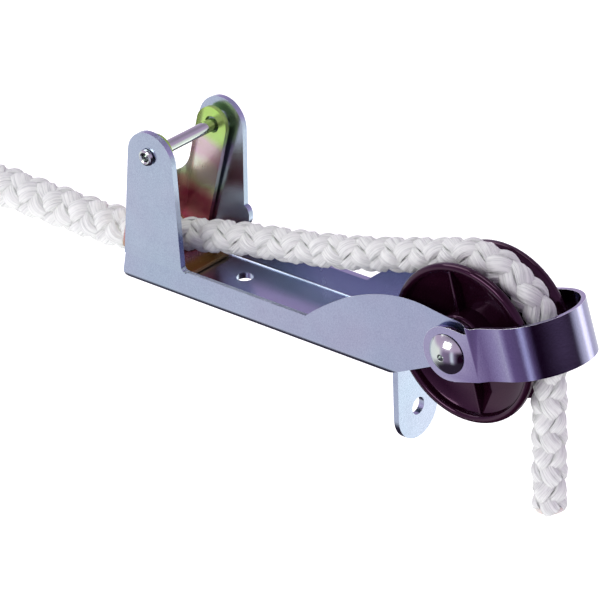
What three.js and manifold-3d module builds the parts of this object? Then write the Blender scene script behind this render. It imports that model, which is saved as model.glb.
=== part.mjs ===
// Bow-mounted single sheave block with a locking pawl, threaded with a braided rope.
// The row frame has its origin at the centre of the base's underside. +X runs towards the
// sheave, +Z is up off the deck, and the block is symmetric about the XZ plane. Millimetres.

import * as THREE from "three";
import * as BufferGeometryUtils from "three/addons/utils/BufferGeometryUtils.js";
import Module from "manifold-3d";

const wasm = await Module();
wasm.setup();

// ---- driving dimensions -------------------------------------------------------------

const GAP = 0.3; // clearance between touching pieces
const MARGIN = 1; // how far a cutter runs past the face that it cuts

const sheet = 2.5; // frame plate thickness
const halfLength = 66.4; // base, end to end
const halfWidth = 20; // frame, outside face to mid-plane
const innerHalf = halfWidth - sheet;
const wallHeight = 12.3;
const bendInside = 0.9; // inside radius of every sheet bend
const bendOutside = bendInside + sheet;
const rearCorner = 4; // radius of each wall's lower rear corner

const ear = { x: -46.4, z: 57.8, radius: 11.5, front: -34.9, footFillet: 2 };
const stop = { z: 21.6, half: 4.2, reach: 2.6 }; // rounded lug on the far ear's front edge
const earSplay = 0.041; // radians that each ear leans outward
const notchX = 27.9; // V where the wall turns up into the cheek
const cheekPeak = { x: 79, z: 34 };
const nose = { x: 98.25, z: 20.6, radius: 11.6, lowerAngle: -2.23 };

const axle = { x: 98.25, z: 19.8, radius: 4 };
const pin = { x: -47.4, z: 59, radius: 2.5 };

const footTab = { halfWidth: 11.8, centreZ: -24, holeZ: -22.5 };
const boltHoleRadius = 3.57; // 9/32 in, for a 1/4 in bolt
const floorHoles = [
  { x: -25, y: 5.7 },
  { x: 38, y: -5.7 },
];

const strap = { thickness: 1.8, pitch: 0.286, bendU: 25.7, outerRadius: 20.45 };
const strapTop = 9.6; // upper edge of the hoop above the axle line
const strapBottom = -11.1;
const strapTabRadius = 10.9;
const strapTip = { rear: 11.7, front: 13.6, top: 10.6, notch: 7.9 }; // left by the end of the joggle
const joggle = { start: 12, end: 16.5 };

const rope = { radius: 6.5, sides: 10, stepLength: 4.5, wrapRadius: 30.2 };
// The tail thickens between two distances behind the origin.
const slack = { growth: 0.26, from: 62, to: 86 };
const ropeExitX = -52; // where the rope is gripped between pawl and saddle

const sheave = {
  radius: 31.75,
  rimHalf: 13.6,
  rimBead: 1.55, // section radius of the rounded rim
  hubRadius: 12,
  hubHalf: 14.6,
  webHalf: 7.2,
  webEdge: 21.5, // where the web starts to slope out to the rim
  ribs: 4, // on each side of the web
  ribAngle: -0.24,
  ribHalf: 11.6,
  ribThickness: 1.1,
};
const bushing = { outer: 6.3, inner: 4.3 };

const pawl = { outerHalf: 17.2, thickness: 2, eyeRadius: 7.3, holeRadius: 3.5 };
const pawlLean = 0.272; // radians, lower end rearward when it rests on the rope
const pawlReach = 51; // pin to lower edge
const pawlWebTop = -34; // top edge of the rear web at mid-width, below the pin
const pawlRear = -12.6; // outside face of the rear web, behind the pin

const saddle = { front: -41.8, rear: -61, halfWidth: 15.6, plate: 1.6, jawFront: -45.5, jawRear: -56.5 };

const deg = Math.PI / 180;

// ---- materials ----------------------------------------------------------------------

const zincPlate = { color: 0xa9aecb, roughness: 0.38, metalness: 0.9 };
const yellowZinc = { color: 0xb9b45a, roughness: 0.35, metalness: 0.85 };
const brightSteel = { color: 0xd8dade, roughness: 0.2, metalness: 1 };
const bronze = { color: 0xa87b45, roughness: 0.4, metalness: 0.9 };
const blackPlastic = { color: 0x17141a, roughness: 0.25, metalness: 0 };
const whiteRope = { color: 0xf0f0ee, roughness: 0.8, metalness: 0 };

// ---- solids -------------------------------------------------------------------------

function solid(geometry) {
  const bare = geometry.index ? geometry.toNonIndexed() : geometry;
  bare.deleteAttribute("normal");
  bare.deleteAttribute("uv");
  const merged = BufferGeometryUtils.mergeVertices(bare, 1e-4);
  const vertProperties = new Float32Array(merged.attributes.position.array);
  const triVerts = new Uint32Array(merged.index.array);
  return new wasm.Manifold(new wasm.Mesh({ numProp: 3, vertProperties, triVerts }));
}

function geometryOf(body) {
  const mesh = body.getMesh();
  const geometry = new THREE.BufferGeometry();
  geometry.setAttribute("position", new THREE.BufferAttribute(new Float32Array(mesh.vertProperties), 3));
  geometry.setIndex(new THREE.BufferAttribute(new Uint32Array(mesh.triVerts), 1));
  return geometry;
}

function joined(bodies) {
  return bodies.reduce((sum, body) => sum.add(body));
}

// A shape drawn in (x, z) and run along Y.
function extrudeY(shape, yLow, yHigh, curveSegments = 12) {
  const options = { depth: yHigh - yLow, bevelEnabled: false, curveSegments };
  const geometry = new THREE.ExtrudeGeometry(shape, options);
  geometry.rotateX(Math.PI / 2);
  geometry.translate(0, yHigh, 0);
  return geometry;
}

// A shape drawn in (y, z) and run along X.
function extrudeX(shape, xLow, xHigh, curveSegments = 12) {
  const options = { depth: xHigh - xLow, bevelEnabled: false, curveSegments };
  const geometry = new THREE.ExtrudeGeometry(shape, options);
  const basis = new THREE.Matrix4();
  basis.makeBasis(new THREE.Vector3(0, 1, 0), new THREE.Vector3(0, 0, 1), new THREE.Vector3(1, 0, 0));
  geometry.applyMatrix4(basis);
  geometry.translate(xLow, 0, 0);
  return geometry;
}

// A shape drawn in (x, y) and run along Z.
function extrudeZ(shape, zLow, zHigh, curveSegments = 12) {
  const options = { depth: zHigh - zLow, bevelEnabled: false, curveSegments };
  const geometry = new THREE.ExtrudeGeometry(shape, options);
  geometry.translate(0, 0, zLow);
  return geometry;
}

function box(low, high) {
  const size = high.map((value, i) => value - low[i]);
  const geometry = new THREE.BoxGeometry(...size);
  geometry.translate(...high.map((value, i) => (value + low[i]) / 2));
  return geometry;
}

function rodY(radius, yLow, yHigh, x, z, sides = 40) {
  const geometry = new THREE.CylinderGeometry(radius, radius, yHigh - yLow, sides);
  geometry.translate(x, (yLow + yHigh) / 2, z);
  return geometry;
}

function rodZ(radius, zLow, zHigh, x, y, sides = 32) {
  const geometry = new THREE.CylinderGeometry(radius, radius, zHigh - zLow, sides);
  geometry.rotateX(Math.PI / 2);
  geometry.translate(x, y, (zLow + zHigh) / 2);
  return geometry;
}

function rodX(radius, xLow, xHigh, y, z, sides = 32) {
  const geometry = new THREE.CylinderGeometry(radius, radius, xHigh - xLow, sides);
  geometry.rotateZ(Math.PI / 2);
  geometry.translate((xLow + xHigh) / 2, y, z);
  return geometry;
}

// A profile of [radius, y] points turned about a Y axis through (x, z).
function turned(profile, x, z, segments = 48) {
  const points = profile.map(([r, y]) => new THREE.Vector2(r, y));
  const geometry = new THREE.LatheGeometry(points, segments);
  geometry.translate(x, 0, z);
  return geometry;
}

// Points on an arc in a turned profile, both ends included.
function arcPoints(r, y, radius, from, to, steps) {
  const points = [];
  for (let i = 0; i <= steps; i += 1) {
    const angle = from + ((to - from) * i) / steps;
    points.push([r + radius * Math.cos(angle), y + radius * Math.sin(angle)]);
  }
  return points;
}

// ---- frame: one bent plate with floor, walls, ears, cheeks and mounting tab --------------

const cornerPoint = { x: -halfLength, z: rearCorner };

function earTangentAngle() {
  const dx = cornerPoint.x - ear.x;
  const dz = cornerPoint.z - ear.z;
  return Math.atan2(dz, dx) + 2 * Math.PI - Math.acos(ear.radius / Math.hypot(dx, dz));
}

function rearEdgeX(z) {
  const angle = earTangentAngle();
  const topX = ear.x + ear.radius * Math.cos(angle);
  const topZ = ear.z + ear.radius * Math.sin(angle);
  return cornerPoint.x + ((topX - cornerPoint.x) * (z - cornerPoint.z)) / (topZ - cornerPoint.z);
}

// Floor, walls and cheeks seen from the side, without the ears.
function lowerProfile() {
  const shape = new THREE.Shape();
  shape.moveTo(-halfLength + rearCorner, 0);
  shape.lineTo(halfLength, 0);
  shape.absarc(nose.x, nose.z, nose.radius, nose.lowerAngle, Math.PI / 2, false);
  shape.bezierCurveTo(91, 32.4, 86, cheekPeak.z, cheekPeak.x, cheekPeak.z);
  shape.bezierCurveTo(61, cheekPeak.z, 42, 24.4, notchX, wallHeight);
  shape.lineTo(rearEdgeX(wallHeight), wallHeight);
  shape.lineTo(cornerPoint.x, cornerPoint.z);
  shape.absarc(-halfLength + rearCorner, rearCorner, rearCorner, Math.PI, 1.5 * Math.PI, false);
  return shape;
}

function earProfile() {
  const foot = wallHeight - 0.4;
  const fillet = ear.footFillet;
  const shape = new THREE.Shape();
  shape.moveTo(rearEdgeX(foot), foot);
  shape.lineTo(ear.front + fillet, foot);
  shape.lineTo(ear.front + fillet, wallHeight);
  shape.absarc(ear.front + fillet, wallHeight + fillet, fillet, 1.5 * Math.PI, Math.PI, true);
  shape.lineTo(ear.front, ear.z);
  shape.absarc(ear.x, ear.z, ear.radius, 0, earTangentAngle(), false);
  return shape;
}

function channelSection() {
  const high = cheekPeak.z + MARGIN;
  const shape = new THREE.Shape();
  shape.moveTo(-halfWidth, high);
  shape.absarc(-halfWidth + bendOutside, bendOutside, bendOutside, Math.PI, 1.5 * Math.PI, false);
  shape.absarc(halfWidth - bendOutside, bendOutside, bendOutside, 1.5 * Math.PI, 2 * Math.PI, false);
  shape.lineTo(halfWidth, high);
  shape.lineTo(innerHalf, high);
  shape.absarc(innerHalf - bendInside, sheet + bendInside, bendInside, 0, -Math.PI / 2, true);
  shape.absarc(-innerHalf + bendInside, sheet + bendInside, bendInside, 1.5 * Math.PI, Math.PI, true);
  shape.lineTo(-innerHalf, high);
  return shape;
}

// One ear, leaning outward from the top of its wall. side is -1 near, +1 far.
// Stop lug on the front edge of the far ear.
function stopLug() {
  const lug = new THREE.Shape();
  lug.moveTo(ear.front - 1, stop.z - stop.half);
  lug.lineTo(ear.front, stop.z - stop.half);
  lug.absellipse(ear.front, stop.z, stop.reach, stop.half, -Math.PI / 2, Math.PI / 2, false, 0);
  lug.lineTo(ear.front - 1, stop.z + stop.half);
  return lug;
}

function earPlate(side) {
  const low = side > 0 ? -sheet : 0;
  const plate = extrudeY(earProfile(), low, low + sheet, 10);
  plate.translate(0, 0, -wallHeight);
  plate.rotateX(-side * earSplay);
  plate.translate(0, side * halfWidth, wallHeight);
  if (side < 0) {
    return solid(plate);
  }
  const lug = extrudeY(stopLug(), -sheet, 0, 8);
  lug.translate(0, 0, -wallHeight);
  lug.rotateX(-earSplay);
  lug.translate(0, halfWidth, wallHeight);
  return joined([solid(plate), solid(lug)]);
}

// The floor's front end, bent down into the mounting tab.
function mountingTab() {
  const bendX = halfLength - bendOutside;
  const bendZ = sheet - bendOutside;
  const profile = new THREE.Shape();
  profile.moveTo(bendX - MARGIN, sheet);
  profile.lineTo(bendX - MARGIN, 0);
  profile.lineTo(bendX, 0);
  profile.absarc(bendX, bendZ, bendInside, Math.PI / 2, 0, true);
  profile.lineTo(halfLength - sheet, footTab.centreZ - footTab.halfWidth - MARGIN);
  profile.lineTo(halfLength, footTab.centreZ - footTab.halfWidth - MARGIN);
  profile.absarc(bendX, bendZ, bendOutside, 0, Math.PI / 2, false);
  const outline = new THREE.Shape();
  outline.moveTo(footTab.halfWidth, sheet + MARGIN);
  outline.lineTo(-footTab.halfWidth, sheet + MARGIN);
  outline.absarc(0, footTab.centreZ, footTab.halfWidth, Math.PI, 2 * Math.PI, false);
  const strip = solid(extrudeY(profile, -halfWidth, halfWidth));
  return strip.intersect(solid(extrudeX(outline, bendX - 2 * MARGIN, halfLength + MARGIN, 20)));
}

function frameChannel() {
  const channel = solid(extrudeY(lowerProfile(), -halfWidth - MARGIN, halfWidth + MARGIN, 16));
  const walls = channel.intersect(solid(extrudeX(channelSection(), -halfLength - MARGIN, nose.x + 20, 6)));
  const reliefHalf = innerHalf - bendInside;
  const frontRelief = box([halfLength - bendOutside, -reliefHalf, -MARGIN], [nose.x, reliefHalf, wallHeight]);
  const body = joined([walls.subtract(solid(frontRelief)), earPlate(-1), earPlate(1), mountingTab()]);
  const holes = floorHoles.map(({ x, y }) => rodZ(boltHoleRadius, -MARGIN, sheet + MARGIN, x, y));
  holes.push(rodX(boltHoleRadius, halfLength - sheet - MARGIN, halfLength + MARGIN, 0, footTab.holeZ));
  holes.push(rodY(axle.radius + GAP, -halfWidth - MARGIN, halfWidth + MARGIN, axle.x, axle.z));
  const earOutside = halfWidth + earSplay * (pin.z - wallHeight) + MARGIN;
  holes.push(rodY(pin.radius + GAP, -earOutside, earOutside, pin.x, pin.z, 24));
  return geometryOf(body.subtract(joined(holes.map(solid))));
}

// ---- guard strap: a hoop round the front of the sheave, riveted outside the cheeks --------

function strapPlan() {
  const inner = halfWidth + GAP;
  const outer = inner + strap.thickness;
  const hoopInner = strap.outerRadius - strap.thickness;
  const rear = -strapTabRadius - MARGIN;
  const shape = new THREE.Shape();
  shape.moveTo(rear, -outer);
  shape.lineTo(joggle.start, -outer);
  shape.lineTo(joggle.end, -strap.outerRadius);
  shape.absarc(strap.bendU, 0, strap.outerRadius, -Math.PI / 2, Math.PI / 2, false);
  shape.lineTo(joggle.end, strap.outerRadius);
  shape.lineTo(joggle.start, outer);
  shape.lineTo(rear, outer);
  shape.lineTo(rear, inner);
  shape.lineTo(joggle.start - GAP, inner);
  shape.lineTo(joggle.end - GAP, hoopInner);
  shape.absarc(strap.bendU, 0, hoopInner, Math.PI / 2, -Math.PI / 2, true);
  shape.lineTo(joggle.end - GAP, -hoopInner);
  shape.lineTo(joggle.start - GAP, -inner);
  shape.lineTo(rear, -inner);
  return shape;
}

function strapSide() {
  const front = strap.bendU + strap.outerRadius + MARGIN;
  const shape = new THREE.Shape();
  shape.moveTo(front, strapBottom);
  shape.lineTo(front, strapTop);
  shape.lineTo(strapTip.front, strapTop);
  shape.lineTo(strapTip.rear, strapTip.top);
  shape.lineTo(strapTip.rear, strapTip.notch);
  shape.lineTo(strapTip.rear - 1.4, strapTip.notch);
  shape.lineTo(4.2, strapTabRadius - 0.7);
  shape.absarc(0, 0, strapTabRadius, Math.PI / 2, 1.5 * Math.PI, false);
  shape.lineTo(0, strapBottom);
  return shape;
}

function guardStrap() {
  const reach = halfWidth + strap.thickness + MARGIN;
  const hoop = solid(extrudeZ(strapPlan(), strapBottom - MARGIN, strapTabRadius + MARGIN, 24));
  const trimmed = hoop.intersect(solid(extrudeY(strapSide(), -reach, reach, 14)));
  const bored = trimmed.subtract(solid(rodY(axle.radius + GAP, -reach, reach, 0, 0)));
  const geometry = geometryOf(bored);
  geometry.rotateY(-strap.pitch);
  geometry.translate(axle.x, 0, axle.z);
  return geometry;
}

// ---- axle, bushing, washers and sheave ------------------------------------------------------

const strapOutside = halfWidth + GAP + strap.thickness;

// Dome head on the near side, hollow clinched end on the far side.
function axleRivet() {
  const seat = strapOutside + GAP;
  const dome = { radius: 8, height: 3.6 };
  const ball = (dome.radius ** 2 + dome.height ** 2) / (2 * dome.height);
  const spread = Math.asin(dome.radius / ball);
  const apexCentre = -seat - dome.height + ball;
  const cap = arcPoints(0, apexCentre, ball, -Math.PI / 2, -Math.PI / 2 + spread, 8);
  const profile = [[0, -seat - dome.height + 2.4], [1.1, -seat - dome.height + 2.2]];
  profile.push([1.3, cap[1][1]]);
  profile.push(...cap.slice(2), [axle.radius, -seat], [axle.radius, seat]);
  profile.push([6.2, seat], [6.4, seat + 1], [5.2, seat + 2.2], [3.6, seat + 2.2], [2.6, seat + 1.2]);
  profile.push([2.6, seat - 6], [0, seat - 6.8]);
  return turned(profile, axle.x, axle.z, 40);
}

function axleBushing() {
  const half = innerHalf - GAP;
  const ring = [[bushing.inner, -half], [bushing.outer, -half], [bushing.outer, half], [bushing.inner, half]];
  return turned([...ring, ring[0]], axle.x, axle.z, 40);
}

function thrustWasher(side) {
  const outside = innerHalf - GAP;
  const inside = sheave.hubHalf + GAP;
  const low = side < 0 ? -outside : inside;
  const high = side < 0 ? -inside : outside;
  const bore = bushing.outer + GAP;
  const ring = [[bore, low], [11, low], [11, high], [bore, high]];
  return turned([...ring, ring[0]], axle.x, axle.z, 40);
}

// Half of the turned section, from the bore out to the rim and in along the groove.
function sheaveSide() {
  const grooveBottom = arcPoints(rope.wrapRadius, 0, rope.radius + 0.6, Math.PI, 0.75 * Math.PI, 4);
  const bead = sheave.rimBead;
  const rim = arcPoints(sheave.radius - bead, sheave.rimHalf - bead, bead, Math.PI, 0, 8);
  return [
    [bushing.outer + 0.2, sheave.hubHalf],
    [sheave.hubRadius - 0.8, sheave.hubHalf],
    [sheave.hubRadius, sheave.hubHalf - 0.8],
    [sheave.hubRadius + 0.6, sheave.webHalf],
    [sheave.webEdge, sheave.webHalf],
    [sheave.radius - 3.5, 10.8],
    ...rim,
    [sheave.radius, 10.9],
    [sheave.radius - 0.5, 10.3],
    ...grooveBottom.reverse(),
  ];
}

function sheaveWheel() {
  const upper = sheaveSide();
  const lower = upper.map(([r, y]) => [r, -y]);
  lower.pop();
  const section = [...lower, ...upper.reverse()];
  section.push(section[0]);
  const parts = [solid(turned(section, 0, 0, 72))];
  const ribSide = [
    [sheave.hubRadius - 1, sheave.webHalf - 0.5],
    [sheave.webEdge, sheave.webHalf - 0.5],
    [sheave.radius - 3, 10.6],
    [sheave.radius - 3, sheave.ribHalf],
    [sheave.hubRadius - 1, sheave.ribHalf],
  ];
  for (let i = 0; i < sheave.ribs; i += 1) {
    for (const side of [-1, 1]) {
      const web = new THREE.Shape(ribSide.map(([r, y]) => new THREE.Vector2(r, side * y)));
      const rib = extrudeZ(web, -sheave.ribThickness / 2, sheave.ribThickness / 2);
      rib.rotateY((i * 2 * Math.PI) / sheave.ribs + sheave.ribAngle);
      parts.push(solid(rib));
    }
  }
  const geometry = geometryOf(joined(parts));
  geometry.translate(axle.x, 0, axle.z);
  return geometry;
}

// ---- pawl, its pin and the saddle under the rope ---------------------------------------------

// The pawl is drawn hanging straight down from the pin, then leaned back.
function lockingPawl() {
  const { outerHalf, thickness, eyeRadius } = pawl;
  const corner = 8;
  const innerFace = outerHalf - thickness;
  const bendX = pawlRear + corner;
  const bendY = outerHalf - corner;
  const plan = new THREE.Shape();
  plan.moveTo(eyeRadius, -outerHalf);
  plan.lineTo(eyeRadius, -innerFace);
  plan.absarc(bendX, -bendY, corner - thickness, 1.5 * Math.PI, Math.PI, true);
  plan.absarc(bendX, bendY, corner - thickness, Math.PI, Math.PI / 2, true);
  plan.lineTo(eyeRadius, innerFace);
  plan.lineTo(eyeRadius, outerHalf);
  plan.absarc(bendX, bendY, corner, Math.PI / 2, Math.PI, false);
  plan.absarc(bendX, -bendY, corner, Math.PI, 1.5 * Math.PI, false);
  const shell = solid(extrudeZ(plan, -pawlReach - MARGIN, eyeRadius + MARGIN, 10));

  const side = new THREE.Shape();
  side.moveTo(eyeRadius, 0);
  side.absarc(0, 0, eyeRadius, 0, Math.PI, false);
  side.lineTo(-eyeRadius, -20);
  side.quadraticCurveTo(-eyeRadius - 0.6, -27, pawlRear - MARGIN, -29);
  side.lineTo(pawlRear - MARGIN, -pawlReach);
  side.lineTo(eyeRadius - 3, -pawlReach);
  side.quadraticCurveTo(eyeRadius, -pawlReach, eyeRadius, -pawlReach + 3);
  const arms = solid(extrudeY(side, -outerHalf - MARGIN, outerHalf + MARGIN, 12));

  const window = new THREE.Shape();
  window.moveTo(-13.5, MARGIN);
  window.quadraticCurveTo(-13, pawlWebTop, 0, pawlWebTop);
  window.quadraticCurveTo(13, pawlWebTop, 13.5, MARGIN);
  const webCut = solid(extrudeX(window, pawlRear - MARGIN, -eyeRadius, 10));

  const bores = solid(rodY(pawl.holeRadius, -outerHalf - MARGIN, outerHalf + MARGIN, 0, 0, 28));
  const geometry = geometryOf(shell.intersect(arms).subtract(webCut).subtract(bores));
  geometry.rotateY(pawlLean);
  geometry.translate(pin.x, 0, pin.z);
  const arch = ropeTube(ropeRoute().slice(0, 6), rope.radius + 2 * GAP, 16, slackSwell);
  return geometryOf(solid(geometry).subtract(solid(arch)));
}

// Semi-tubular pin: the near end is rolled over a hollow, the far end is a flat head.
function pawlPin() {
  const seat = halfWidth + earSplay * (pin.z - wallHeight) + GAP + 0.15;
  const profile = [
    [0, -seat + 3.2],
    [1.5, -seat + 2.6],
    [1.7, -seat - 1.1],
    [2.4, -seat - 1.5],
    [3.2, -seat - 1.1],
    [3.5, -seat - 0.2],
    [3.4, -seat],
    [pin.radius, -seat],
    [pin.radius, seat],
    [4, seat],
    [4, seat + 0.9],
    [3.2, seat + 1.5],
    [0, seat + 1.7],
  ];
  return turned(profile, pin.x, pin.z, 32);
}

// Plate on the floor with an upstanding jaw whose top is hollowed to the rope.
function ropeSaddle() {
  const low = sheet + GAP;
  const plateTop = low + saddle.plate;
  const plate = box([saddle.rear, -saddle.halfWidth, low], [saddle.front, saddle.halfWidth, plateTop]);
  const jaw = new THREE.Shape();
  jaw.moveTo(-11.5, low + saddle.plate / 2);
  jaw.lineTo(11.5, low + saddle.plate / 2);
  jaw.quadraticCurveTo(11, 11.5, 8.6, 11.5);
  jaw.lineTo(-8.6, 11.5);
  jaw.quadraticCurveTo(-11, 11.5, -11.5, low + saddle.plate / 2);
  const block = solid(extrudeX(jaw, saddle.jawRear, saddle.jawFront, 8));
  const groove = ropeTube(ropeRoute().slice(0, 8), rope.radius + GAP + 0.3, 16);
  return geometryOf(solid(plate).add(block).subtract(solid(groove)));
}

// ---- rope -----------------------------------------------------------------------------------

// Route of the rope's centre in the mid-plane, from its tail on the deck to its hanging end.
function tailRoute() {
  return [
    [-165, 8.4],
    [-150, 8.4],
    [-135, 8.3],
    [-120, 8.2],
    [-106, 8.2],
    [-92, 8.4],
    [-79, 9.5],
    [-66, 12.6],
    [ropeExitX, 16.1],
  ];
}

function spanRoute() {
  return [
    [ropeExitX, 16.1],
    [-42, 18.2],
    [-31, 20.8],
    [-20, 23.1],
    [-8, 25.2],
    [8, 28],
    [22, 30.6],
    [37, 33.9],
    [52, 37.8],
    [66, 41.7],
    [78, 45.2],
  ];
}

function wrapRoute() {
  const points = [];
  const start = 105.6 * deg;
  const steps = 12;
  for (let i = 0; i <= steps; i += 1) {
    const angle = start - (start * i) / steps;
    points.push([axle.x + rope.wrapRadius * Math.cos(angle), axle.z + rope.wrapRadius * Math.sin(angle)]);
  }
  return points;
}

function fallRoute() {
  const x = axle.x + rope.wrapRadius;
  return [8, -4, -16, -30, -46].map((z) => [x, z]);
}

// The part of the route that passes through the pawl and saddle.
function ropeRoute() {
  return [...tailRoute().slice(-4), ...spanRoute().slice(1, 6)];
}

// The tail is slack, so its braid opens and grows thicker behind the base.
function slackSwell(x) {
  return 1 + slack.growth * THREE.MathUtils.smoothstep(-x, slack.from, slack.to);
}

function ropeTube(route, radius, sides, swell = () => 1) {
  const points = route.map(([x, z]) => new THREE.Vector3(x, 0, z));
  const path = new THREE.CatmullRomCurve3(points, false, "centripetal");
  const ring = new THREE.Shape();
  for (let i = 0; i < sides; i += 1) {
    const angle = (i * 2 * Math.PI) / sides;
    ring[i === 0 ? "moveTo" : "lineTo"](radius * Math.cos(angle), radius * Math.sin(angle));
  }
  const steps = Math.round(path.getLength() / rope.stepLength);
  const tube = new THREE.ExtrudeGeometry(ring, { steps, bevelEnabled: false, extrudePath: path });
  const centres = path.getSpacedPoints(steps);
  const point = new THREE.Vector3();
  for (let i = 0; i < tube.attributes.position.count; i += 1) {
    point.fromBufferAttribute(tube.attributes.position, i);
    const nearer = (a, b) => (b.distanceToSquared(point) < a.distanceToSquared(point) ? b : a);
    const centre = centres.reduce(nearer);
    point.sub(centre).multiplyScalar(swell(centre.x)).add(centre);
    tube.attributes.position.setXYZ(i, point.x, point.y, point.z);
  }
  return tube;
}

// ---- assembly ---------------------------------------------------------------------------------

const block = new THREE.Group();

function place(name, geometry, finish) {
  const mesh = new THREE.Mesh(geometry, new THREE.MeshStandardMaterial(finish));
  mesh.name = name;
  block.add(mesh);
}

const tail = tailRoute();
tail[tail.length - 1] = [ropeExitX - GAP, tail[tail.length - 1][1] - 0.06];
const fall = [...spanRoute(), ...wrapRoute(), ...fallRoute()];

place("frame_channel", frameChannel(), zincPlate);
place("guard_strap", guardStrap(), zincPlate);
place("axle_rivet", axleRivet(), brightSteel);
place("axle_bushing", axleBushing(), bronze);
place("thrust_washer_near", thrustWasher(-1), brightSteel);
place("thrust_washer_far", thrustWasher(1), brightSteel);
place("sheave", sheaveWheel(), blackPlastic);
place("pawl", lockingPawl(), yellowZinc);
place("pawl_pin", pawlPin(), brightSteel);
place("rope_saddle", ropeSaddle(), yellowZinc);
place("hauling_rope", ropeTube(tail, rope.radius, rope.sides, slackSwell), whiteRope);
place("anchor_rope", ropeTube(fall, rope.radius, rope.sides), whiteRope);

export default block;
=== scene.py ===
"""Looks of a single sheave block with a rope-locking pawl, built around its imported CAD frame.

Bump distances are metres already, and a noise scale is in turns per metre.
"""
import math

import bmesh
import bpy
from mathutils import Matrix, Vector


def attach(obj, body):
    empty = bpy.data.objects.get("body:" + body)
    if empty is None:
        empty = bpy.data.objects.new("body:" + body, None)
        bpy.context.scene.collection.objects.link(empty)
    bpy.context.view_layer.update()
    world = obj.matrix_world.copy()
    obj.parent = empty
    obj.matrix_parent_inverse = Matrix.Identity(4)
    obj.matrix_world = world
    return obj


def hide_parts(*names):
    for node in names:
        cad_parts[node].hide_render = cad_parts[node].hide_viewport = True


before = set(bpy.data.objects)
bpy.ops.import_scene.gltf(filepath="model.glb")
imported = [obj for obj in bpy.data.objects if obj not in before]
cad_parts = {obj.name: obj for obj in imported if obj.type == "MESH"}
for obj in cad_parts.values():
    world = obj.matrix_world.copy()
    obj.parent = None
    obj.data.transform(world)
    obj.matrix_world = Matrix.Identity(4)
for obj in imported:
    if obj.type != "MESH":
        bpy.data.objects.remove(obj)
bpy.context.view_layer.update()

MM = 0.001

AXLE = Vector((98.25, 0, 19.8))
PIN = Vector((-47.4, 0, 59))
PAWL_LEAN = 0.272


# ---- camera ------------------------------------------------------------------------------

CAMERA_AZIMUTH = 41.42  # degrees from square-on to the near side, towards the bow
CAMERA_ELEVATION = 27.51
CAMERA_ROLL = -2.31
CAMERA_TARGET = Vector((8.51, 0, 4.94))
CAMERA_DISTANCE = 1307.8
SENSOR_WIDTH = 36
FOCAL_LENGTH = 202.7


def add_camera():
    azimuth, elevation, roll = (math.radians(a) for a in (CAMERA_AZIMUTH, CAMERA_ELEVATION, CAMERA_ROLL))
    back = Vector((math.sin(azimuth) * math.cos(elevation), -math.cos(azimuth) * math.cos(elevation),
                   math.sin(elevation)))
    right = (-back).cross(Vector((0, 0, 1))).normalized()
    up = right.cross(-back)
    rolled_right = math.cos(roll) * right + math.sin(roll) * up
    rolled_up = math.cos(roll) * up - math.sin(roll) * right
    data = bpy.data.cameras.new("camera")
    data.sensor_width = SENSOR_WIDTH
    data.lens = FOCAL_LENGTH
    camera = bpy.data.objects.new("camera", data)
    matrix = Matrix((rolled_right, rolled_up, back)).transposed().to_4x4()
    matrix.translation = (CAMERA_TARGET + back * CAMERA_DISTANCE) * MM
    camera.matrix_world = matrix
    bpy.context.scene.collection.objects.link(camera)
    bpy.context.scene.camera = camera


add_camera()


# ---- shader helpers ----------------------------------------------------------------------

def colour_ramp(tree, value, stops):
    """A gradient through (position, colour) stops, driven by the value socket."""
    made = tree.nodes.new("ShaderNodeValToRGB")
    elements = made.color_ramp.elements
    while len(elements) < len(stops):
        elements.new(0.5)
    for element, (position, colour) in zip(elements, stops):
        element.position = position
        element.color = (*colour, 1)
    tree.links.new(value, made.inputs["Fac"])
    return made


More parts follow.
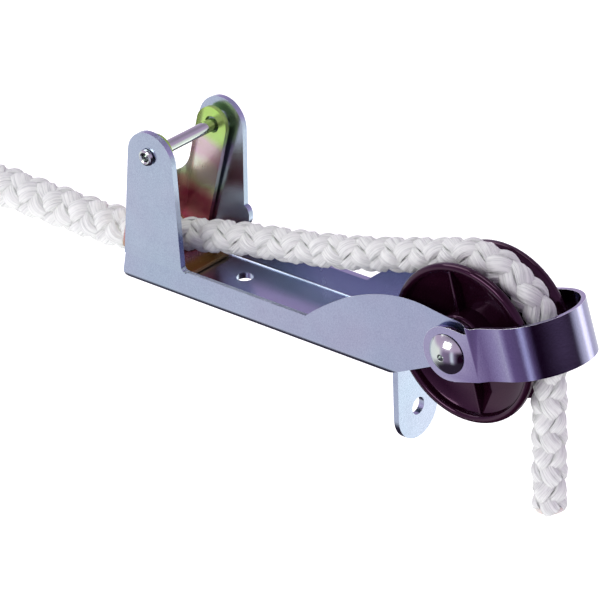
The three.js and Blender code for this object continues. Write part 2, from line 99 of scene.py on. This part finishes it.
class Shader:
    """A node material with a Principled surface, built through short calls."""

    def __init__(self, name):
        self.material = bpy.data.materials.new(name)
        self.material.use_nodes = True
        self.nodes = self.material.node_tree.nodes
        self.links = self.material.node_tree.links
        self.surface = self.nodes["Principled BSDF"]

    def set(self, **values):
        for name, value in values.items():
            self.surface.inputs[name.replace("_", " ")].default_value = value

    def node(self, kind, **settings):
        made = self.nodes.new(kind)
        for name, value in settings.items():
            if hasattr(made, name):
                setattr(made, name, value)
            else:
                made.inputs[name.replace("_", " ")].default_value = value
        return made

    def link(self, source, output, target, socket):
        self.links.new(source.outputs[output], target.inputs[socket])

    def coordinates(self, output="Object", scale=(1, 1, 1)):
        texture = self.node("ShaderNodeTexCoord")
        mapping = self.node("ShaderNodeMapping")
        mapping.inputs["Scale"].default_value = scale
        self.link(texture, output, mapping, "Vector")
        return mapping

    def noise(self, scale, detail=4, rough=0.5, where=None, distortion=0):
        made = self.node("ShaderNodeTexNoise", Scale=scale, Detail=detail, Roughness=rough,
                         Distortion=distortion)
        self.link(where or self.coordinates(), "Vector", made, "Vector")
        return made

    def ramp(self, source, stops):
        return colour_ramp(self.material.node_tree, source.outputs[0], stops)

    def spread(self, source, low, high, span=(0.3, 0.7)):
        """Map a texture value to low..high."""
        made = self.node("ShaderNodeMapRange")
        made.inputs["From Min"].default_value = span[0]
        made.inputs["From Max"].default_value = span[1]
        made.inputs["To Min"].default_value = low
        made.inputs["To Max"].default_value = high
        self.link(source, 0, made, "Value")
        return made

    def mix(self, first, second, factor, blend="MIX"):
        """Mix two (node, output) colours or plain colours. factor is a number or (node, output)."""
        made = self.node("ShaderNodeMix", data_type="RGBA", blend_type=blend)
        for socket, value in ((6, first), (7, second), (0, factor)):
            if isinstance(value, tuple) and isinstance(value[0], bpy.types.Node):
                self.links.new(value[0].outputs[value[1]], made.inputs[socket])
            else:
                made.inputs[socket].default_value = (*value, 1) if isinstance(value, tuple) else value
        return made

    def bump(self, height, distance, strength, below=None):
        made = self.node("ShaderNodeBump", Strength=strength, Distance=distance)
        self.link(height, 0, made, "Height")
        if below:
            self.link(below, "Normal", made, "Normal")
        self.link(made, "Normal", self.surface, "Normal")
        return made


# ---- materials ---------------------------------------------------------------------------

def zinc_plate(name, tints, roughness):
    """Bright zinc plate on steel: satin, with a fine crystalline grain and faint lavender clouds."""
    s = Shader(name)
    s.set(Metallic=1.0)
    cloud = s.noise(28, detail=3)
    tint = s.ramp(cloud, list(zip((0.3, 0.55, 0.75), tints)))
    grain = s.noise(1500, detail=3, rough=0.65)
    speck = s.ramp(grain, [(0.35, (0.87, 0.87, 0.90)), (0.62, (1.0, 1.0, 1.0))])
    colour = s.mix((tint, 0), (speck, 0), 0.9, blend="MULTIPLY")
    s.link(colour, 2, s.surface, "Base Color")
    smear = s.noise(60, detail=5, rough=0.6)
    s.link(s.spread(smear, *roughness), 0, s.surface, "Roughness")
    fine = s.bump(grain, 0.00003, 0.45)
    wave = s.noise(45, detail=2)
    s.bump(wave, 0.00018, 0.25, below=fine)
    return s.material


def edge_wear_and_highlight():
    """Sheet edges rubbed bright, with the plate's own colour left in the low spots. The near-white colour is
    partly real rubbing and partly a painted highlight along the rounded edges.
    """
    s = Shader("edge_wear_and_highlight")
    s.set(Metallic=1.0)
    rubbed_and_highlight = s.noise(300, detail=4)
    # painted highlight: the near-white stop stands in for light caught along the edges, on top of real
    # rubbing
    tint = s.ramp(rubbed_and_highlight, [(0.32, (0.66, 0.70, 0.80)), (0.5, (0.94, 0.95, 0.98))])
    s.link(tint, 0, s.surface, "Base Color")
    s.link(s.spread(rubbed_and_highlight, 0.42, 0.28), 0, s.surface, "Roughness")
    s.bump(rubbed_and_highlight, 0.00004, 0.4)
    return s.material


PAWL_UP = (math.sin(PAWL_LEAN), 0, math.cos(PAWL_LEAN))
BAND_WANDER = 10  # how far the bands stray from straight
BAND_SPAN = (-46, 13)  # the stretch along the pawl, from the pin, that the bands cover
# Painted light among the film colours: the pale stops from 0.38 to 0.53 are a painted highlight, and the
# maroon stops from 0.06 to 0.27 are a painted reflection of shade
FILM_AND_REFLECTION_BANDS = [
    (0.00, (0.36, 0.22, 0.06)),
    (0.06, (0.42, 0.06, 0.10)),
    (0.27, (0.42, 0.05, 0.11)),
    (0.33, (0.62, 0.36, 0.28)),
    (0.38, (0.70, 0.90, 0.48)),
    (0.46, (0.92, 1.00, 0.84)),
    (0.53, (0.84, 0.90, 0.76)),
    (0.60, (0.78, 0.58, 0.68)),
    (0.69, (0.76, 0.60, 0.66)),
    (0.76, (0.54, 0.80, 0.26)),
    (1.00, (0.42, 0.76, 0.12)),
]


def yellow_zinc():
    """Yellow chromate over zinc, coloured in bands along the pawl. The greens and pinks are the thin film's
    own colour; the near-white band is a painted highlight and the maroon bands are painted reflection of
    shade.
    """
    s = Shader("yellow_zinc")
    s.set(Metallic=0.75)
    from_pin = s.node("ShaderNodeVectorMath", operation="SUBTRACT")
    s.link(s.coordinates(), "Vector", from_pin, 0)
    from_pin.inputs[1].default_value = PIN * MM
    along = s.node("ShaderNodeVectorMath", operation="DOT_PRODUCT")
    s.link(from_pin, 0, along, 0)
    along.inputs[1].default_value = PAWL_UP
    cloud = s.noise(75, detail=3, distortion=0.6)
    shift = s.node("ShaderNodeMath", operation="MULTIPLY_ADD")
    shift.inputs[1].default_value = BAND_WANDER * MM
    s.link(cloud, 0, shift, 0)
    s.link(along, "Value", shift, 2)
    height = s.spread(shift, 0, 1, span=[end * MM for end in BAND_SPAN])
    # the bands hold a painted highlight and a painted reflection of shade as well as the film's own colour
    film_and_reflection = s.ramp(height, FILM_AND_REFLECTION_BANDS)
    patch = s.noise(160, detail=4)
    mottled = s.mix((film_and_reflection, 0), (0.74, 0.66, 0.34), (s.spread(patch, 0, 0.22), 0))
    s.link(mottled, 2, s.surface, "Base Color")
    s.link(s.spread(patch, 0.18, 0.28), 0, s.surface, "Roughness")
    s.bump(s.noise(1800, detail=2), 0.00003, 0.3)
    return s.material


def bright_steel():
    """Polished plated steel of the rivet and pin."""
    s = Shader("bright_steel")
    s.set(Metallic=1.0)
    cloud = s.noise(90)
    tint = s.ramp(cloud, [(0.3, (0.62, 0.67, 0.64)), (0.7, (0.72, 0.77, 0.73))])
    s.link(tint, 0, s.surface, "Base Color")
    scuff = s.noise(400, detail=5, where=s.coordinates(scale=(1, 0.12, 1)))
    s.link(s.spread(scuff, 0.08, 0.2), 0, s.surface, "Roughness")
    s.bump(scuff, 0.00002, 0.3)
    return s.material


def bronze():
    """Sintered bronze of the hidden bushing."""
    s = Shader("bronze")
    s.set(Metallic=1.0)
    pores = s.noise(1500, detail=3)
    tint = s.ramp(pores, [(0.35, (0.30, 0.19, 0.09)), (0.6, (0.55, 0.36, 0.17))])
    s.link(tint, 0, s.surface, "Base Color")
    s.link(s.spread(pores, 0.3, 0.5), 0, s.surface, "Roughness")
    s.bump(pores, 0.00005, 0.4)
    return s.material


def black_plastic():
    """Glossy moulded nylon, nearly black with a plum cast."""
    s = Shader("black_plastic")
    s.set(IOR=1.5, Specular_IOR_Level=0.5, Specular_Tint=(0.90, 0.45, 0.80, 1), Coat_Weight=0.06,
          Coat_Roughness=0.04)
    cloud = s.noise(55)
    tint = s.ramp(cloud, [(0.3, (0.009, 0.001, 0.005)), (0.7, (0.016, 0.003, 0.009))])
    s.link(tint, 0, s.surface, "Base Color")
    scuff = s.noise(350, detail=6)
    s.link(s.spread(scuff, 0.07, 0.15), 0, s.surface, "Roughness")
    s.bump(s.noise(120, detail=2), 0.00008, 0.2)
    return s.material


def white_rope():
    """White multifilament: fine fibres run along each strand, in the UV map's first direction."""
    s = Shader("white_rope")
    s.set(Subsurface_Weight=0.12, Subsurface_Radius=(0.004, 0.004, 0.004), Subsurface_Scale=0.3,
          Sheen_Weight=0.25, Sheen_Roughness=0.4)
    fibre = s.noise(1.0, detail=4, rough=0.65, where=s.coordinates("UV", scale=(0.09, 32, 1)))
    tone = s.noise(90, detail=3)
    base = s.ramp(fibre, [(0.28, (0.46, 0.49, 0.47)), (0.5, (0.80, 0.84, 0.79)), (0.66, (0.91, 0.95, 0.89))])
    aged = s.mix((base, 0), (0.77, 0.80, 0.73), (s.spread(tone, 0, 0.25), 0))
    s.link(aged, 2, s.surface, "Base Color")
    s.link(s.spread(fibre, 0.62, 0.42), 0, s.surface, "Roughness")
    s.bump(fibre, 0.0006, 0.9)
    return s.material


def fused_nylon():
    """Rope ends sealed with heat: hard, slightly yellowed, half clear."""
    s = Shader("fused_nylon")
    s.set(Subsurface_Weight=0.3, Subsurface_Radius=(0.004, 0.003, 0.002), Subsurface_Scale=0.5)
    lumps = s.noise(500, detail=3)
    tint = s.ramp(lumps, [(0.3, (0.74, 0.70, 0.60)), (0.7, (0.86, 0.84, 0.78))])
    s.link(tint, 0, s.surface, "Base Color")
    s.link(s.spread(lumps, 0.2, 0.4), 0, s.surface, "Roughness")
    s.bump(lumps, 0.0003, 0.5)
    return s.material


PLATE_TINTS = ((0.45, 0.54, 0.67), (0.49, 0.55, 0.69), (0.51, 0.54, 0.68))
HOOP_TINTS = ((0.36, 0.35, 0.52), (0.40, 0.38, 0.56), (0.42, 0.38, 0.55))

materials = {
    "zinc_plate": zinc_plate("zinc_plate", PLATE_TINTS, roughness=(0.18, 0.28)),
    "bright_zinc": zinc_plate("bright_zinc", HOOP_TINTS, roughness=(0.08, 0.16)),
    "yellow_zinc": yellow_zinc(),
    "edge_wear_and_highlight": edge_wear_and_highlight(),
    "bright_steel": bright_steel(),
    "bronze": bronze(),
    "black_plastic": black_plastic(),
    "white_rope": white_rope(),
    "fused_nylon": fused_nylon(),
}


# ---- meshes ------------------------------------------------------------------------------

WELD_DISTANCE = 0.002
LEVEL_ANGLE = math.radians(0.6)  # facets this close to one plane are joined
FOLD_ANGLE = math.radians(32)  # edges folded more than this stay crisp
EDGE_SEGMENTS = 3


def add_mesh(name, vertices, faces, material):
    mesh = bpy.data.meshes.new(name)
    mesh.from_pydata(vertices, [], faces)
    mesh.materials.append(materials[material])
    mesh.polygons.foreach_set("use_smooth", [True] * len(mesh.polygons))
    piece = bpy.data.objects.new(name, mesh)
    bpy.context.scene.collection.objects.link(piece)
    return piece


def mark_folds(graph):
    """Shade smooth between folds, and weight the outward folds for rounding."""
    weight = graph.edges.layers.float.new("bevel_weight_edge")
    for edge in graph.edges:
        edge.smooth = edge.calc_face_angle(0) < FOLD_ANGLE
        edge[weight] = 0.0 if edge.smooth or not edge.is_convex else 1.0
    for face in graph.faces:
        face.smooth = True


def refined(node, name, material, body, edge_radius, edge_material=None):
    """Copy a CAD node, clean its facets and round its outward edges. The copy replaces the node."""
    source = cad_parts[node]
    graph = bmesh.new()
    graph.from_mesh(source.data)
    bmesh.ops.remove_doubles(graph, verts=graph.verts, dist=WELD_DISTANCE * MM)
    bmesh.ops.dissolve_limit(graph, angle_limit=LEVEL_ANGLE, verts=graph.verts, edges=graph.edges)
    mark_folds(graph)
    mesh = bpy.data.meshes.new(name)
    graph.to_mesh(mesh)
    graph.free()
    mesh.materials.append(materials[material])
    piece = bpy.data.objects.new(name, mesh)
    bpy.context.scene.collection.objects.link(piece)
    bevel = piece.modifiers.new("edge_rounding", "BEVEL")
    bevel.width = edge_radius * MM
    bevel.segments = EDGE_SEGMENTS
    bevel.limit_method = "WEIGHT"
    bevel.miter_outer = "MITER_ARC"
    bevel.harden_normals = True
    # the edge material paints a highlight on the rounded edges, as well as real rubbing
    if edge_material:
        mesh.materials.append(materials[edge_material])
        bevel.material = 1
    normals = piece.modifiers.new("even_normals", "WEIGHTED_NORMAL")
    normals.keep_sharp = True
    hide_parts(node)
    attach(piece, body)


# ---- rope --------------------------------------------------------------------------------

TIGHT_DIAMETER = 13.4
SLACK_DIAMETER = 16.9
SLACK_FROM, SLACK_TO = 62, 86  # millimetres behind the origin over which the slack tail opens
ROPE_SPLIT = 0.15  # half of the gap where the two stretches meet
LAY = 58.0  # length in which a strand goes once round
STRANDS = 4  # in each direction
STRAND_CENTRE = 3.8
STRAND_WAVE = 1.25  # how far a strand rises and sinks as it passes over and under the others
STRAND_HALF_WIDTH = 3.2
STRAND_HALF_DEPTH = 1.85
STRAND_WIDENING = 0.06  # extra width where a strand lies on top
STRAND_SIDES = 28
YARNS = 7  # ridges round each strand
YARN_RELIEF = 0.07
YARN_TWIST = 0.22  # radians per millimetre
FIBRE_SHIFT = 37  # moves each strand's fibre pattern along, so that no two strands match
CORE_RADIUS = 3.1
CORE_SIDES = 16
CORE_STEP = 4
BRAID_PHASE = 0.6
RING_STEP = 1.1
HALF_CHORD = 1.5  # reach each way when the rope's direction is measured
END_TAPER = 5.0
END_NARROWING = 0.16
TIP_PROFILE = ((-1.6, 5.2), (-0.8, 5.9), (0.0, 6.1), (0.6, 5.6), (1.05, 4.4), (1.3, 2.6), (1.4, 0.8))
TIP_INSET = 1.4  # how far the braid stops short of a sealed end
TIP_LUMPS = ((0.025, 3, 1), (0.018, 7, -2))  # depth, count round the tip, turn with reach
PATH_STEP = 4
TAIL = [(-165, 8.4), (-150, 8.4), (-135, 8.3), (-120, 8.2), (-106, 8.2), (-92, 8.4), (-79, 9.5), (-66, 12.6)]
GRIP = (-52, 16.1)
SPAN = [(-42, 18.2), (-31, 20.8), (-20, 23.1), (-8, 25.2), (8, 28), (22, 30.6), (37, 33.9), (52, 37.8),
        (66, 41.7), (78, 45.2)]
WRAP_RADIUS = 30.2
WRAP_START = math.radians(105.6)
WRAP_STEPS = 12
FALL = [8, -4, -16, -30, -46]


def rope_route():
    angles = [WRAP_START * (1 - i / WRAP_STEPS) for i in range(WRAP_STEPS + 1)]
    wrap = [(AXLE.x + WRAP_RADIUS * math.cos(a), AXLE.z + WRAP_RADIUS * math.sin(a)) for a in angles]
    fall = [(AXLE.x + WRAP_RADIUS, z) for z in FALL]
    return [Vector((x, 0, z)) for x, z in [*TAIL, GRIP, *SPAN, *wrap, *fall]]


def curve_points(route, per_span=16):
    """A centripetal Catmull-Rom curve through the route, as closely spaced points."""
    ends = [route[0] * 2 - route[1], *route, route[-1] * 2 - route[-2]]
    dense = []
    for p0, p1, p2, p3 in zip(ends, ends[1:], ends[2:], ends[3:]):
        t1 = (p1 - p0).length ** 0.5
        t2 = t1 + (p2 - p1).length ** 0.5
        t3 = t2 + (p3 - p2).length ** 0.5
        for i in range(per_span):
            t = t1 + (t2 - t1) * i / per_span
            a1 = p0.lerp(p1, t / t1)
            a2 = p1.lerp(p2, (t - t1) / (t2 - t1))
            a3 = p2.lerp(p3, (t - t2) / (t3 - t2))
            b1 = a1.lerp(a2, t / t2)
            b2 = a2.lerp(a3, (t - t1) / (t3 - t1))
            dense.append(b1.lerp(b2, (t - t1) / (t2 - t1)))
    dense.append(route[-1].copy())
    return dense


class RopeLine:
    """The rope's centreline by distance along it."""

    def __init__(self, points):
        self.points = points
        self.distance = [0.0]
        for a, b in zip(points, points[1:]):
            self.distance.append(self.distance[-1] + (b - a).length)
        self.length = self.distance[-1]
        self.index = 0

    def at(self, s):
        s = min(max(s, 0.0), self.length)
        while self.index > 0 and self.distance[self.index] > s:
            self.index -= 1
        while self.index < len(self.points) - 2 and self.distance[self.index + 1] < s:
            self.index += 1
        a, b = self.points[self.index], self.points[self.index + 1]
        share = (s - self.distance[self.index]) / (self.distance[self.index + 1] - self.distance[self.index])
        return a.lerp(b, share)

    def frame(self, s):
        """Point, direction, upward normal and sideways normal at s."""
        ahead, behind = self.at(s + HALF_CHORD), self.at(s - HALF_CHORD)
        direction = (ahead - behind).normalized()
        side = Vector((0, 1, 0))
        return self.at(s), direction, direction.cross(side) * -1, side

    def distance_to(self, place):
        """Distance along the line of its point nearest to place, an (x, z) pair."""
        gaps = [(point.xz - Vector(place)).length for point in self.points]
        return self.distance[gaps.index(min(gaps))]


rope_line = RopeLine(curve_points(rope_route()))
GRIP_DISTANCE = rope_line.distance_to(GRIP)


def ring_places(start, end, step):
    """Evenly spaced distances from start to end, about a step apart."""
    count = max(2, round((end - start) / step))
    return [start + (end - start) * i / count for i in range(count + 1)]


def strand_rings(start, end, turn, offset, squeeze):
    """Rings of points round one strand, each with its distance along the rope."""
    rings = []
    for s in ring_places(start, end, RING_STEP):
        point, direction, normal, side = rope_line.frame(s)
        phase = 2 * math.pi * s / LAY + BRAID_PHASE
        angle = turn * phase + offset
        wave = math.cos(STRANDS * phase) * turn
        shrink = squeeze(s)
        radius = (STRAND_CENTRE + STRAND_WAVE * wave) * shrink
        outward = math.cos(angle) * normal + math.sin(angle) * side
        around = -math.sin(angle) * normal + math.cos(angle) * side
        along = (direction + around * (turn * radius * 2 * math.pi / LAY)).normalized()
        across = along.cross(outward).normalized()
        centre = point + outward * radius
        ring = []
        for j in range(STRAND_SIDES):
            v = 2 * math.pi * j / STRAND_SIDES
            yarn = 1 + YARN_RELIEF * math.cos(YARNS * v + YARN_TWIST * s * turn)
            wide = STRAND_HALF_WIDTH * (1 + STRAND_WIDENING * wave) * math.cos(v) * yarn * shrink
            deep = STRAND_HALF_DEPTH * math.sin(v) * yarn * shrink
            ring.append((centre + across * wide + outward * deep) * MM)
        rings.append((ring, s))
    return rings


def tube_faces(first, rings, sides):
    faces = []
    for i in range(rings - 1):
        for j in range(sides):
            a = first + i * sides + j
            b = first + i * sides + (j + 1) % sides
            faces.append((a, b, b + sides, a + sides))
    faces.append(tuple(first + j for j in reversed(range(sides))))
    faces.append(tuple(first + (rings - 1) * sides + j for j in range(sides)))
    return faces


def core_rings(start, end, squeeze):
    """Rings of points round the core that fills the middle of the braid."""
    turns = [2 * math.pi * j / CORE_SIDES for j in range(CORE_SIDES)]
    rings = []
    for s in ring_places(start, end, CORE_STEP):
        point, _, normal, side = rope_line.frame(s)
        radius = CORE_RADIUS * squeeze(s)
        spokes = [math.cos(a) * normal + math.sin(a) * side for a in turns]
        rings.append(([(point + radius * spoke) * MM for spoke in spokes], s))
    return rings


def fused_tip(s, outward, size):
    """A low rough dome that seals a rope end at s. outward is +1 at the far end and -1 at the start."""
    point, direction, normal, side = rope_line.frame(s)
    rings = []
    for reach, width in TIP_PROFILE:
        place = point + direction * (outward * (reach - TIP_INSET))
        ring = []
        for j in range(STRAND_SIDES):
            a = 2 * math.pi * j / STRAND_SIDES
            uneven = 1 + sum(depth * math.sin(count * a + turn * reach) for depth, count, turn in TIP_LUMPS)
            spoke = math.cos(a) * normal + math.sin(a) * side
            ring.append((place + spoke * (width * uneven * size)) * MM)
        rings.append((ring, s))
    return rings


def braided_stretch(name, start, end, sealed_start, sealed_end):
    """One stretch of braided rope between two distances along the route, as a single mesh."""

    def squeeze(s):
        """The rope's thickness at s, as a share of its tight thickness."""
        low = min(1.0, (s - start) / END_TAPER) if sealed_start else 1.0
        high = min(1.0, (end - s) / END_TAPER) if sealed_end else 1.0
        closing = 1 - END_NARROWING + END_NARROWING * math.sin(min(low, high) * math.pi / 2)
        share = min(max((-rope_line.at(s).x - SLACK_FROM) / (SLACK_TO - SLACK_FROM), 0), 1)
        opening = share * share * (3 - 2 * share) * (SLACK_DIAMETER / TIGHT_DIAMETER - 1)
        return closing * (1 + opening)

    vertices, faces, coordinates, slots = [], [], [], []

    def add(rings, slot, tone):
        sides = len(rings[0][0])
        made = tube_faces(len(vertices), len(rings), sides)
        faces.extend(made)
        slots.extend([slot] * len(made))
        for ring, s in rings:
            vertices.extend(ring)
            coordinates.extend((s + tone * FIBRE_SHIFT, j / sides) for j in range(sides))

    low = start + (TIP_INSET if sealed_start else 0)
    high = end - (TIP_INSET if sealed_end else 0)
    for k in range(STRANDS):
        add(strand_rings(low, high, 1, k * 2 * math.pi / STRANDS, squeeze), 0, k)
        add(strand_rings(low, high, -1, k * 2 * math.pi / STRANDS, squeeze), 0, k + STRANDS)
    add(core_rings(low, high, squeeze), 0, 2 * STRANDS + 1)
    if sealed_start:
        add(fused_tip(start, -1, SLACK_DIAMETER / TIGHT_DIAMETER), 1, 0)
    if sealed_end:
        add(fused_tip(end, 1, 1), 1, 0)
    piece = add_mesh(name, vertices, faces, "white_rope")
    piece.data.materials.append(materials["fused_nylon"])
    piece.data.polygons.foreach_set("material_index", slots)
    layer = piece.data.uv_layers.new(name="strand")
    flat = []
    for face in piece.data.polygons:
        pairs = [coordinates[v] for v in face.vertices]
        wraps = max(v for _, v in pairs) - min(v for _, v in pairs) > 0.5
        for u, v in pairs:
            flat.extend((u, v + 1 if wraps and v < 0.5 else v))
    layer.data.foreach_set("uv", flat)
    return piece


def declare_rope(name, node, start, end):
    cut_at_start = start == 0
    piece = braided_stretch(name, start, end, cut_at_start, end == rope_line.length)
    path = [rope_line.at(s) * MM for s in ring_places(start, end, PATH_STEP)]
    if cut_at_start:
        path.reverse()
    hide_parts(node)
    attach(piece, "frame")


declare_rope("braided_hauling_rope", "hauling_rope", 0, GRIP_DISTANCE - ROPE_SPLIT)
declare_rope("braided_anchor_rope", "anchor_rope", GRIP_DISTANCE + ROPE_SPLIT, rope_line.length)


# ---- metal and plastic pieces ----------------------------------------------------------------

refined("frame_channel", "plated_channel", "zinc_plate", "frame", 0.55, "edge_wear_and_highlight")
refined("guard_strap", "plated_hoop", "bright_zinc", "frame", 0.5, "edge_wear_and_highlight")
refined("axle_rivet", "dome_rivet", "bright_steel", "frame", 0.2)
refined("axle_bushing", "bronze_sleeve", "bronze", "frame", 0.3)
refined("thrust_washer_near", "near_washer", "bright_steel", "frame", 0.25)
refined("thrust_washer_far", "far_washer", "bright_steel", "frame", 0.25)
refined("sheave", "moulded_sheave", "black_plastic", "sheave_wheel", 0.35)
refined("pawl", "chromated_pawl", "yellow_zinc", "lock", 0.35)
refined("pawl_pin", "hollow_pin", "bright_steel", "frame", 0.15)
refined("rope_saddle", "chromated_saddle", "yellow_zinc", "frame", 0.3)


# ---- floor and light ---------------------------------------------------------------------------

FLOOR_LEVEL = -190
FLOOR_HALF_WIDTH = 6000
LAMP_TINT = (0.96, 1.0, 0.93)
BEARING_SHADES = [  # round the horizon from -X through -Y, +X and +Y back to -X
    (0.00, (0.92, 0.93, 1.00)),
    (0.135, (1.00, 1.00, 1.00)),
    (0.16, (0.62, 0.55, 0.72)),
    (0.19, (0.28, 0.20, 0.36)),
    (0.26, (0.22, 0.16, 0.28)),
    (0.288, (0.90, 0.92, 1.15)),
    (0.315, (0.20, 0.14, 0.26)),
    (0.35, (0.01, 0.00, 0.01)),
    (0.575, (0.02, 0.01, 0.02)),
    (0.61, (0.85, 0.88, 0.90)),
    (0.64, (1.25, 1.30, 1.22)),
    (0.66, (2.60, 2.65, 2.60)),
    (0.685, (2.20, 2.25, 2.20)),
    (0.71, (0.88, 0.88, 0.95)),
    (0.86, (0.88, 0.90, 0.92)),
    (1.00, (0.92, 0.93, 1.00)),
]
CEILING_SHADES = [  # by the sine of the elevation
    (0.25, (0.58, 0.43, 0.66)),
    (0.60, (0.50, 0.38, 0.58)),
    (0.90, (0.20, 0.17, 0.24)),
]
BENEATH_SHADE = (0.03, 0.02, 0.04)
CEILING_FROM, CEILING_TO = -0.1, 0.25  # sines of the elevations between which the ceiling takes over
BENEATH_FROM, BENEATH_TO = -0.80, -0.52


def add_floor():
    level, reach = FLOOR_LEVEL * MM, FLOOR_HALF_WIDTH * MM
    mesh = bpy.data.meshes.new("studio_floor")
    corners = [(-reach, -reach, level), (reach, -reach, level), (reach, reach, level), (-reach, reach, level)]
    mesh.from_pydata(corners, [], [(0, 1, 2, 3)])
    s = Shader("studio_floor")
    s.set(Base_Color=(0.9, 0.9, 0.9, 1), Roughness=0.9, Emission_Color=(0.98, 1, 0.96, 1),
          Emission_Strength=0.75)
    mesh.materials.append(s.material)
    floor = bpy.data.objects.new("studio_floor", mesh)
    bpy.context.scene.collection.objects.link(floor)
    floor.visible_glossy = False


def add_softbox(name, place, size, power):
    """A rectangular lamp at place that faces the origin."""
    data = bpy.data.lights.new(name, "AREA")
    data.shape = "RECTANGLE"
    data.size, data.size_y = (side * MM for side in size)
    data.energy = power
    data.color = LAMP_TINT
    light = bpy.data.objects.new(name, data)
    light.location = Vector(place) * MM
    light.rotation_euler = (-Vector(place)).to_track_quat("-Z", "Y").to_euler()
    bpy.context.scene.collection.objects.link(light)


def step_between(tree, value, low, high):
    """0 below low and 1 above high, with a smooth rise between."""
    made = tree.nodes.new("ShaderNodeMapRange")
    made.interpolation_type = "SMOOTHSTEP"
    made.inputs["From Min"].default_value = low
    made.inputs["From Max"].default_value = high
    tree.links.new(value, made.inputs["Value"])
    return made.outputs[0]


def blend_node(tree, share):
    """A colour mix with its share already linked. Inputs 6 and 7 take the colours."""
    made = tree.nodes.new("ShaderNodeMix")
    made.data_type = "RGBA"
    tree.links.new(share, made.inputs[0])
    return made


def add_world():
    """A soft studio surround that changes with the bearing, with a dim ceiling and darkness beneath."""
    world = bpy.data.worlds.new("studio")
    world.use_nodes = True
    tree = world.node_tree
    nodes, links = tree.nodes, tree.links
    direction = nodes.new("ShaderNodeTexCoord")
    split = nodes.new("ShaderNodeSeparateXYZ")
    links.new(direction.outputs["Generated"], split.inputs[0])
    bearing = nodes.new("ShaderNodeMath")
    bearing.operation = "ARCTAN2"
    links.new(split.outputs["Y"], bearing.inputs[0])
    links.new(split.outputs["X"], bearing.inputs[1])
    turn = nodes.new("ShaderNodeMapRange")
    turn.inputs["From Min"].default_value = -math.pi
    turn.inputs["From Max"].default_value = math.pi
    links.new(bearing.outputs[0], turn.inputs["Value"])
    around = colour_ramp(tree, turn.outputs[0], BEARING_SHADES)
    ceiling = colour_ramp(tree, split.outputs["Z"], CEILING_SHADES)
    upper = blend_node(tree, step_between(tree, split.outputs["Z"], CEILING_FROM, CEILING_TO))
    links.new(around.outputs[0], upper.inputs[6])
    links.new(ceiling.outputs[0], upper.inputs[7])
    whole = blend_node(tree, step_between(tree, split.outputs["Z"], BENEATH_FROM, BENEATH_TO))
    whole.inputs[6].default_value = (*BENEATH_SHADE, 1)
    links.new(upper.outputs[2], whole.inputs[7])
    links.new(whole.outputs[2], nodes["Background"].inputs["Color"])
    bpy.context.scene.world = world


add_floor()
add_softbox("key", (-150, -1200, 600), (700, 500), 5.5)
add_softbox("side", (-950, -150, 1300), (1000, 1000), 9)
add_softbox("top", (100, 400, 1300), (700, 400), 3)
add_world()
bpy.context.scene.view_settings.view_transform = "Standard"
